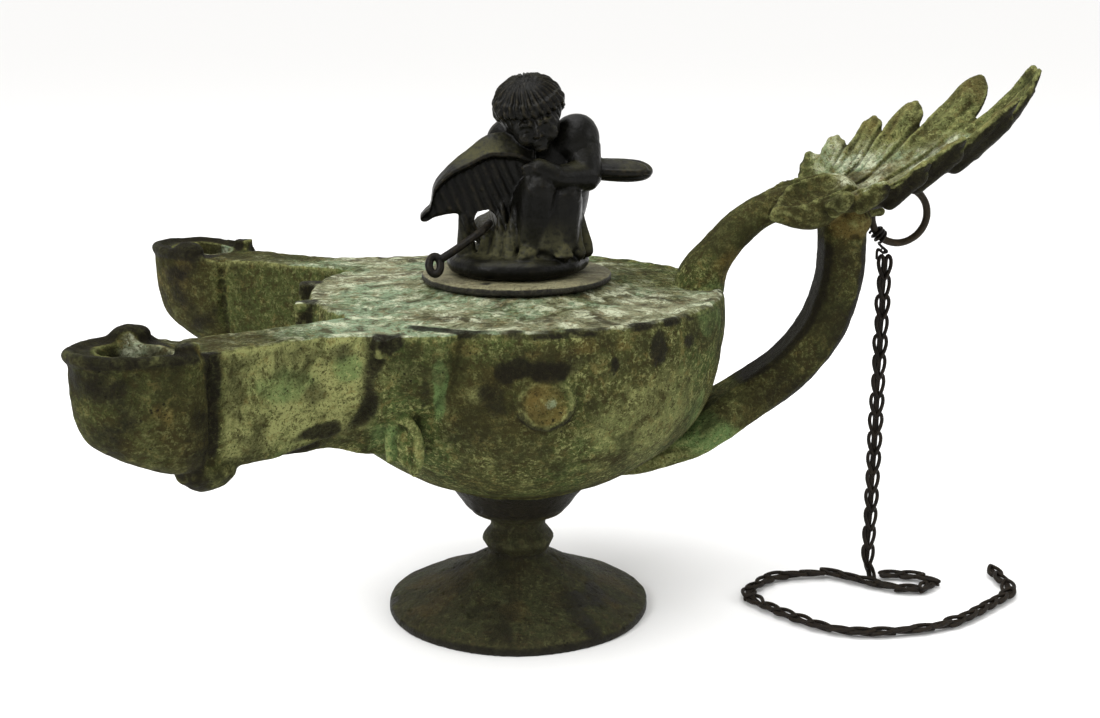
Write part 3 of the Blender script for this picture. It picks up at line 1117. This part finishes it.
def headParts():
    points, faces = ball(vec(0, 0, 0), headSize, (0, 0, 0), 40, 26)
    parts = [(points @ headTurn.T + headCentre, faces)]
    for i in range(figure["locks"]):
        turn = 360 * i / figure["locks"]
        front = max(0.0, math.cos(math.radians(turn + 90)))
        last = 104 - 44 * front
        tilts = np.linspace(14, last, 22)
        path = [onHead(turn + 14 * math.sin(math.radians(t * 2)) + (i % 3) * 2, t, 0.15 * (i % 2)) for t in tilts]
        width = figure["lockWidth"] * np.interp(tilts, [14, 60, last], [0.55, 1.0, 0.75])
        parts.append(tube(path, width, 10))
    for i in range(figure["curls"]):
        turn = -152 + 124 * i / (figure["curls"] - 1)
        path = []
        for a in np.linspace(0, 480, 26):
            size = 2.1 - 1.3 * a / 480
            path.append(onHead(turn + 13 * size / 2.1 * math.cos(math.radians(a)),
                               66 + 10 * size / 2.1 * math.sin(math.radians(a)), 0.7 + 0.5 * a / 480))
        parts.append(tube(path, np.linspace(0.85, 0.6, 26), 10))
    parts.append(ball(faceCentre, (6.2, 5.4, 6.1), (14, -14, 0), 40, 26))
    for side in (-1, 1):
        parts.append(tube(through([onFace(side * x, y, z) for x, y, z in
                                   ((0.8, -5.15, 1.9), (2.4, -4.9, 2.35), (4.2, -3.7, 2.0))], 12), 0.6, 10))
        parts.append(ball(onFace(side * 2.3, -4.5, 0.8), (1.25, 0.75, 0.7), (14, -14, 0)))
        parts.append(ball(onFace(side * 2.9, -3.8, -1.6), (2.3, 1.8, 2.2), (14, -14, 0)))
        parts.append(ball(onFace(side * 0.8, -5.7, -1.0), (0.6, 0.6, 0.5), (14, -14, 0)))
    parts.append(limb(onFace(0, -5.1, 1.5), onFace(0, -6.2, -0.8), 0.6, 0.85, 12))
    for z, width in ((-2.5, 0.42), (-3.25, 0.48)):
        lip = [onFace(x, y, z - 0.1 * abs(x)) for x, y in ((-1.7, -4.9), (0, -5.5), (1.7, -4.9))]
        parts.append(tube(through(lip, 12), width, 10))
    parts.append(ball(onFace(0, -4.2, -4.6), (2.0, 1.7, 1.4), (14, -14, 0)))
    return parts


def bodyParts():
    parts = [ball(at(7.4, 1, 21), (12, 10.5, 17), (0, 8, 0), 48, 30),
             ball(at(5.6, 4, 32), (13.5, 8, 9), (0, 14, 0)), ball(at(2.6, 2.6, 10.5), (14.6, 12, 7.5)),
             ball(at(15, -2, 34.2), (6.6, 6.8, 7.4), (0, 24, 0))]
    for start, end, r0, r1 in (
            ((16.6, -3, 32.4), (17.4, -7.6, 26), 5.4, 4.3), ((17, -8.2, 26), (9.4, -13, 26.2), 3.9, 3.1),
            ((9, -13.2, 26.6), (4.6, -13.4, 28.6), 3, 2.7), ((2, -2, 13), (4.6, -12.4, 23), 6.6, 4.9),
            ((4.6, -12.2, 22), (3, -10.6, 8), 4.9, 4.3), ((11, -2, 12), (11.6, -10.2, 20.5), 6.2, 4.8),
            ((11.6, -10, 20), (10.6, -10, 8), 4.8, 4.2), ((-13.8, -6, 5.5), (-13.4, -7, 16), 2.6, 2.3),
            ((3, -11.4, 7.2), (1.4, -15, 6.6), 3.0, 2.2), ((10.6, -10.6, 7.2), (11, -14.4, 6.6), 3.0, 2.2),
            ((7.4, -10.6, 21), (7.4, -10.4, 8), 3.6, 5.6)):
        parts.append(limb(at(*start), at(*end), r0, r1, 24))
    for i in range(4):
        parts.append(limb(at(4.8, -14.2 + 0.1 * i, 30.4 - 1.35 * i), at(0.8 + 0.3 * i, -13.6, 28.8 - 1.3 * i),
                          0.85, 0.7, 12))
    for foot in (1.4, 11):
        for i in range(5):
            x = foot - 1.9 + 0.95 * i
            parts.append(limb(at(x, -15.4 + 0.25 * abs(i - 1), 6.4), at(x, -16.8 + 0.35 * abs(i - 1), 6.1),
                              0.62, 0.5, 10))
    for i, (x, y, lean) in enumerate(((-9, -8.8, 2.6), (-6.2, -11, 2.6), (-3, -12.6, 2.2), (15.5, -9.5, -1.5),
                                      (18, -6, -2.6), (7, -13.6, 0.2))):
        parts.append(limb(at(x, y, 6), at(x + lean, y + 3.4, 19 + (i % 2) * 2), 1.9, 1.1, 12))
    rightWing = vec(10.5, 6, 3.0)
    points, faces = ball(vec(0, 0, 0), rightWing, (0, 0, 0), 48, 40)
    points = np.sign(points) * np.abs(points / rightWing) ** vec(0.62, 0.9, 0.9) * vec(9.4, 5.8, 3.0)
    parts.append((points @ turnMatrix(0, 3, 0).T + at(27, 1, 26.2), faces))
    parts.append(ball(at(19.5, 1, 27), (5, 5.6, 3.6), (0, 3, 0)))
    return parts


def padSolid():
    outline = [(0.86, 0), (0.95, 0.7), (0.99, 1.7), (1.0, 2.8), (0.985, 3.9), (0.95, 4.7), (0.88, 5.5), (0.8, 6)]
    return lathe([(share * figure["padRadius"], figureBase + z) for share, z in outline] + [(4, figureBase + 7)],
                 160, lambda a: 0.016 * np.sin(5 * a + 0.6) + 0.012 * np.sin(9 * a + 2) - 0.02)


def figureRelief(points, normals):
    p = points - vec(0, 0, figureBase)
    push = 0.1 * layered(points, 3.2, 3, 101)
    wing = (1 - ramp(p[:, 0], -4, 2)) * ramp(-p[:, 1], 7, 9) * ramp(-normals[:, 1], 0.3, 0.7)
    wing *= ramp(p[:, 2], 8, 12)
    shoulder = eased(wingTop, p[:, 0]) - eased(wingDrop, p[:, 0])
    below = 1 - ramp(p[:, 2] - shoulder, -2.2, -1.2)
    feather = (p[:, 0] + 0.42 * (p[:, 2] - 20) + 0.6 * layered(points, 8, 2, 104)) / 2.7
    push -= 0.6 * wing * below * (np.abs(feather - np.round(feather)) * 2) ** 2
    right = ramp(p[:, 0], 20, 24) * ramp(np.abs(normals[:, 2]), 0.2, 0.6)
    push -= 0.6 * right * (0.5 + 0.5 * np.cos((p[:, 1] - p[:, 2]) * 1.9 + 0.12 * p[:, 0]))
    fold = 0.22 * np.sin(np.arctan2(p[:, 1] + 2, p[:, 0] - 4) * 16) * (1 - ramp(p[:, 2], 9, 16))
    push += fold * ramp(p[:, 2], 6.6, 8.4) * ramp(np.hypot(p[:, 0] - 4, p[:, 1]), 7, 10)
    hair = ((points - headCentre) @ headTurn) / headSize
    turn = np.arctan2(hair[:, 1], hair[:, 0])
    onHair = (np.linalg.norm(hair, axis=1) > 0.98) * ramp(hair[:, 2], -0.3, 0.2) * ramp(p[:, 2], 38, 40)
    push += 0.32 * onHair * np.cos(turn * 30 + 7 * hair[:, 2] + 1.8 * layered(points, 5, 2, 105))
    return push


def figurePiece():
    parts = headParts() + bodyParts() + [padSolid(), leftWing()]
    child = fused(meshObject("crouchingChild", parts), figure["voxel"] * (1))
    cutAway(child, meshObject("gap", [tube([at(-8.7, -24, 12.4), at(-8.7, 18, 18.2)], 2.9, 40)]))
    points, normals = evened(child.data, 1)
    pushed(child.data, points, normals, figureRelief(points, normals))
    thinned(child, figure["triangles"])
    points, normals = addWear(child.data, 7)
    p = points - vec(0, 0, figureBase)
    up = ramp(normals[:, 2], 0.35, 0.85)
    dust = 0.35 * up * ramp(layered(points, 6, 3, 111), -0.2, 0.5)
    skirt = (1 - ramp(p[:, 2], 8, 17)) * ramp(p[:, 2], 5, 6.5) * ramp(normals[:, 2], -0.4, 0.6)
    deepen(dust, 0.75 * skirt)
    deepen(dust, 0.9 * nearSpot(points, at(-9, -9, 33), (9, 6, 4.5), 112) * up)
    dust *= 1 - 0.6 * ramp(p[:, 2], 42, 47)
    addAttribute(child.data, "dust", dust)
    finished(child, figureSkin, "cupid_figure")


figurePiece()


# Wires: the hook through the gap, the ring, its tie
wires = {"hook": 2.1, "tie": 0.8, "tieTurn": 223, "tieTurns": 3, "chain": 1.12, "pitch": 5.56, "width": 4.6,
         "twist": 0.35, "seed": 4}


def wirePiece(name, parts, voxel, material, node, seed):
    piece = fused(meshObject(name, parts), voxel * (1))
    points, normals = readPoints(piece.data)
    pushed(piece.data, points, normals, 0.07 * layered(points, 1.8, 3, seed))
    normals = addWear(piece.data, 4)[1]
    addAttribute(piece.data, "dust", 0.6 * ramp(normals[:, 2], 0.2, 0.9))
    finished(piece, material, node)


hookPath = [at(-7.6, -6, 13.6), at(-8.4, -9.4, 13.4), at(-10.5, -12.6, 12.2), at(-15, -13.6, 9.2),
            at(-20.4, -14.2, 5.8)]
eyePath = [at(-22.2, -14.4, 4.2) + vec(1.45 * math.cos(a), 0.8 * math.sin(a), 2.15 * math.sin(a))
           for a in np.linspace(0, 2 * math.pi, 12, endpoint=False)]
hook = wires["hook"] / 2
wirePiece("wingWire", [tube(through(hookPath, 60), hook, 20), tube(through(eyePath, 48, True), hook, 18, True)],
          0.2, wireSkin, "wing_wire", 121)


def onRing(degrees, extra=0.0):
    r, a = handleLook["ringRadius"] + extra, math.radians(degrees)
    return ringCentre + vec(r * math.cos(a), 0, r * math.sin(a))


ringPath = [onRing(a, 0.12 * math.sin(math.radians(a) * 2)) for a in range(0, 360, 5)]
wirePiece("hangingRing", [tube(ringPath, handleLook["ringWire"] / 2, 24, True)], 0.24, ringSkin, "hanging_ring",
          122)
chainTop = onRing(wires["tieTurn"]) + vec(handleLook["ringRadius"] * 0.28, 0, -handleLook["ringRadius"] * 0.6)
away = handleLook["ringWire"] / 2 + lamp["fitGap"] + wires["tie"] / 2
tiePath = []
for i in range(wires["tieTurns"] * 8 + 1):
    a = i / 8 * 2 * math.pi
    place = onRing(wires["tieTurn"] - 12 + i / (wires["tieTurns"] * 8) * 24, away * math.cos(a))
    tiePath.append(place + vec(0, away * math.sin(a), 0))
tiePath.append((tiePath[-1] + chainTop) / 2)
tiePath += [chainTop + vec(dx, 0, dz) for dx, dz in ((0.5, -0.2), (-0.6, -0.5), (-2.2, 0.4), (-2.4, -2.4))]
wirePiece("ringTie", [tube(through(tiePath, 260), wires["tie"] / 2, 12)], 0.16, wireSkin, "ring_tie", 123)


# Chain: folded wire links set along the route by Geometry Nodes
def chainRoute():
    linkTop = chainTop[2] - wires["tie"] - wires["chain"] / 2 - 0.9
    landing = vec(chainTop[0], chainTop[1] + 0.4, 0)
    level = wires["width"] * 0.36

    def spot(dx, dy, rise=0.0):
        return landing + vec(dx, dy, level + rise)

    start, end = vec(chainTop[0], chainTop[1], linkTop), spot(-0.6, 0, 5)
    points = [start + (end - start) * i / 6 for i in range(7)]
    points += [spot(*p) for p in (
        (1.4, 0, 0.6), (7, -0.6), (13.6, -2.6), (15.6, -7.6), (10.6, -11.6), (3, -9), (-4.6, -2.6), (-11, 2.2),
        (-24, 2), (-31, -1.4), (-38, -13), (-27, -32), (-15.6, -40), (-0.4, -40.4), (13.4, -36), (27, -25.4),
        (35.8, -16.4), (37, -3.4))]
    return through(points, 600)


def linkPath():  # along the chain, across it, out of its plane
    pitch, half = wires["pitch"], (wires["width"] - wires["chain"]) / 2
    left = [(1.02, -0.12, 0.28), (0.62, -0.72, 0.22), (0.24, -1.0, 0.1), (-0.06, -0.86, 0.0), (-0.16, -0.46, 0.0),
            (0.06, -0.2, -0.12), (0.5, -0.2, -0.26), (0.96, -0.1, -0.3)]
    points = left + [(a, -w, d) for a, w, d in reversed(left)]
    return through([vec(w * half, d * half, a * pitch) for a, w, d in points], 40, True)


def chainTree(material):
    tree = bpy.data.node_groups.new("linkChain", "GeometryNodeTree")
    for name, kind in (("Geometry", "Geometry"), ("Link", "Object"), ("Pitch", "Float"), ("Wire Radius", "Float"),
                       ("Twist", "Float"), ("Seed", "Int")):
        tree.interface.new_socket(name, in_out="INPUT", socket_type="NodeSocket" + kind)
    tree.interface.new_socket("Geometry", in_out="OUTPUT", socket_type="NodeSocketGeometry")

    def add(kind, **settings):
        node = tree.nodes.new(kind)
        for name, value in settings.items():
            setattr(node, name, value)
        return node

    source, target = add("NodeGroupInput"), add("NodeGroupOutput")
    route, linkCurve = add("GeometryNodeMeshToCurve"), add("GeometryNodeMeshToCurve")
    points = add("GeometryNodeCurveToPoints", mode="LENGTH")
    facing = add("GeometryNodeInputNamedAttribute", data_type="FLOAT_VECTOR")
    facing.inputs["Name"].default_value = "facing"
    aim = add("FunctionNodeAlignRotationToVector", axis="Z")
    upright = add("FunctionNodeAlignRotationToVector", axis="Y", pivot_axis="Z")
    chance = add("FunctionNodeRandomValue", data_type="FLOAT")
    turned = add("FunctionNodeRotateRotation", rotation_space="LOCAL")
    angles, toRotation = add("ShaderNodeCombineXYZ"), add("FunctionNodeEulerToRotation")
    flip = add("ShaderNodeMath", operation="MULTIPLY")
    flip.inputs[1].default_value = -1.0
    info = add("GeometryNodeObjectInfo")
    circle = add("GeometryNodeCurvePrimitiveCircle", mode="RADIUS")
    circle.inputs["Resolution"].default_value = 7
    wire, skinned = add("GeometryNodeCurveToMesh"), add("GeometryNodeSetMaterial")
    instances, realize = add("GeometryNodeInstanceOnPoints"), add("GeometryNodeRealizeInstances")
    skinned.inputs["Material"].default_value = material
    for start, given, end, taken in (
            (source, "Geometry", route, "Mesh"), (route, "Curve", points, "Curve"),
            (source, "Pitch", points, "Length"), (points, "Tangent", aim, "Vector"),
            (aim, "Rotation", upright, "Rotation"), (facing, "Attribute", upright, "Vector"),
            (source, "Twist", flip, 0), (flip, 0, chance, 2), (source, "Twist", chance, 3),
            (source, "Seed", chance, "Seed"), (chance, 1, angles, "Z"), (angles, "Vector", toRotation, "Euler"),
            (upright, "Rotation", turned, "Rotation"), (toRotation, "Rotation", turned, "Rotate By"),
            (source, "Link", info, "Object"), (info, "Geometry", linkCurve, "Mesh"),
            (linkCurve, "Curve", wire, "Curve"), (source, "Wire Radius", circle, "Radius"),
            (circle, "Curve", wire, "Profile Curve"), (points, "Points", instances, "Points"),
            (wire, "Mesh", instances, "Instance"), (turned, "Rotation", instances, "Rotation"),
            (instances, "Instances", realize, "Geometry"), (realize, "Geometry", skinned, "Geometry"),
            (skinned, "Geometry", target, "Geometry")):
        tree.links.new(start.outputs[given], end.inputs[taken])
    return tree


def chainPiece():
    route, link = chainRoute(), linkPath()
    routeMesh = bpy.data.meshes.new("wireChain")
    routeMesh.from_pydata((route * mm).tolist(), [(i, i + 1) for i in range(len(route) - 1)], [])
    hanging = ramp(np.abs(np.gradient(route, axis=0)[:, 2]), 0.2, 0.5)[:, None]
    facing = hanging * vec(0, -1, 0.02) + (1 - hanging) * vec(0, 0, 1)
    routeMesh.attributes.new("facing", "FLOAT_VECTOR", "POINT").data.foreach_set("vector", facing.ravel())
    chain = bpy.data.objects.new("wireChain", routeMesh)
    linkMesh = bpy.data.meshes.new("link")
    count = len(link)
    linkMesh.from_pydata((link * mm).tolist(), [(i, (i + 1) % count) for i in range(count)], [])
    linkObject = bpy.data.objects.new("link", linkMesh)
    for obj in (chain, linkObject):
        bpy.context.scene.collection.objects.link(obj)
    tree = chainTree(chainSkin)
    maker = chain.modifiers.new("links", "NODES")
    maker.node_group = tree
    values = {"Link": linkObject, "Pitch": wires["pitch"] * mm, "Wire Radius": wires["chain"] / 2 * mm,
              "Twist": wires["twist"], "Seed": wires["seed"]}
    for item in tree.interface.items_tree:
        if item.item_type == "SOCKET" and item.in_out == "INPUT" and item.name in values:
            maker[item.identifier] = values[item.name]
    settled(chain)
    bpy.data.meshes.remove(linkMesh)
    points, normals = readPoints(chain.data)
    height = points[:, 2]
    points[:, 2] = np.where(height < 1, np.exp(np.minimum(height, 1) - 1), height)  # kept above the floor
    writePoints(chain.data, points)
    addAttribute(chain.data, "wear", 0.5 + 0.4 * layered(points, 3, 2, 131))
    addAttribute(chain.data, "hollow", np.zeros(len(points)))
    addAttribute(chain.data, "dust", 0.7 * ramp(normals[:, 2], 0.2, 0.9))
    finished(chain, chainSkin, "chain")


chainPiece()


# Camera at the photograph's angle, floor and soft lights
view = {"place": (-0.0326, -0.4233, 0.1731), "tilt": math.pi / 2 - 0.236669, "turn": -0.0976751, "lens": 52.86}
camera = bpy.data.objects.new("camera", bpy.data.cameras.new("camera"))
camera.data.lens = view["lens"]
camera.data.sensor_width = 36
camera.data.clip_start = 0.01
camera.location = view["place"]
camera.rotation_euler = (view["tilt"], 0, view["turn"])
bpy.context.scene.collection.objects.link(camera)
bpy.context.scene.camera = camera

stageLook = {"floor": (0.86, 0.86, 0.86), "world": (1.0, 0.99, 0.97), "worldStrength": 0.72,
             "sunStrength": 1.5, "sunWidth": 60, "sunTilt": (24, -14, 0)}  # degrees
floorMesh = bpy.data.meshes.new("floor")
floorMesh.from_pydata([(-12, -6, 0), (12, -6, 0), (12, 30, 0), (-12, 30, 0)], [], [(0, 1, 2, 3)])
floorPiece = bpy.data.objects.new("floor", floorMesh)
bpy.context.scene.collection.objects.link(floorPiece)
floorSkin, _, floorShader, _ = newMaterial("pale floor", 0.85, 0.5)
floorShader.inputs["Base Color"].default_value = stageLook["floor"] + (1,)
floorMesh.materials.append(floorSkin)

bpy.context.scene.view_settings.view_transform = "Standard"  # colours come out as they are set
world = bpy.data.worlds.new("soft light")
world.use_nodes = True
background = world.node_tree.nodes["Background"]
background.inputs["Color"].default_value = stageLook["world"] + (1,)
background.inputs["Strength"].default_value = stageLook["worldStrength"]
bpy.context.scene.world = world
sunData = bpy.data.lights.new("wide light", "SUN")
sunData.energy = stageLook["sunStrength"]
sunData.angle = math.radians(stageLook["sunWidth"])
sunLight = bpy.data.objects.new("wide light", sunData)
sunLight.rotation_euler = [math.radians(a) for a in stageLook["sunTilt"]]
bpy.context.scene.collection.objects.link(sunLight)
lights = {  # place in metres, size in metres, power in watts
    "overhead": ((-0.15, 0.1, 0.95), 0.9, 7.0),
    "frontLeft": ((-0.7, -0.6, 0.6), 0.3, 5.0),
    "right": ((0.8, -0.25, 0.45), 0.4, 1.6),
}
for lightName, (place, width, power) in lights.items():
    lightData = bpy.data.lights.new(lightName, "AREA")
    lightData.size = width
    lightData.energy = power
    light = bpy.data.objects.new(lightName, lightData)
    light.location = place
    light.rotation_euler = (Vector((0, 0, 0.06)) - Vector(place)).to_track_quat("-Z", "Y").to_euler()
    bpy.context.scene.collection.objects.link(light)
print("camera, floor and lights placed")
